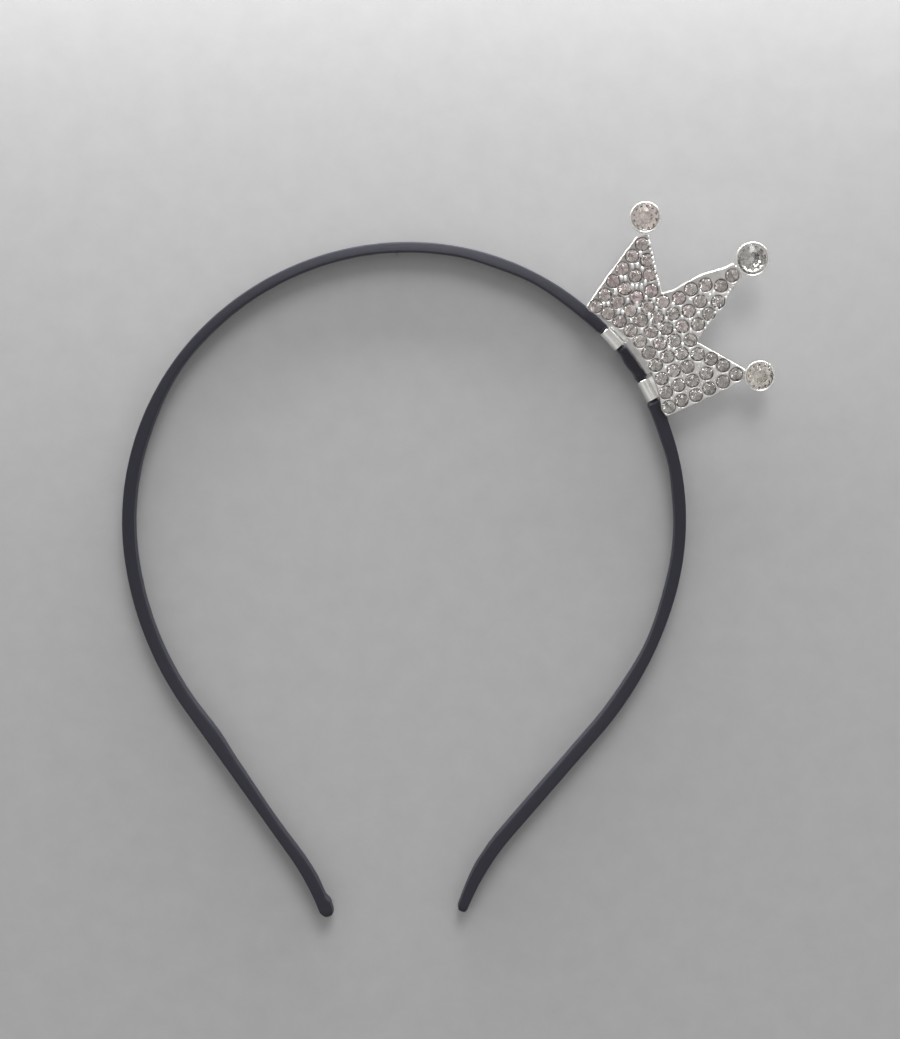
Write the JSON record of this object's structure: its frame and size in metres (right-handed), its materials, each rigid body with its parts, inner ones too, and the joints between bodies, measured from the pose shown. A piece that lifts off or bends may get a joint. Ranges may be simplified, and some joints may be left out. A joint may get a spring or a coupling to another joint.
{
  "type": "headband with a mini crown",
  "caption": "Narrow satin-covered headband with a small stone-set crown standing on one side, lying on its edge.",
  "frame": {"origin": "middle of the band's lower edge at the top of the arch", "axes": "+Z across the band's width, up from the surface that it lies on; +Y out of the arch's top in the plane of the loop; +X towards the side that carries the crown"},
  "size_m": [0.1434, 0.1576, 0.0131],
  "materials": {
    "satin": "near-black satin ribbon with a soft violet sheen, wrapped round a spring-steel strip that makes most of the weight",
    "silver": "bright silver plating on a cast setting",
    "small_stone": "faceted foil-backed glass with a faint mauve tint",
    "tip_stone": "faceted foil-backed glass, clear with a faint champagne tint"
  },
  "bodies": {
    "root": {"band": "satin", "crown_setting": "silver", "pave_stones": "small_stone", "tip_stone_left": "tip_stone", "tip_stone_middle": "tip_stone", "tip_stone_right": "tip_stone"}
  },
  "joints": []
}
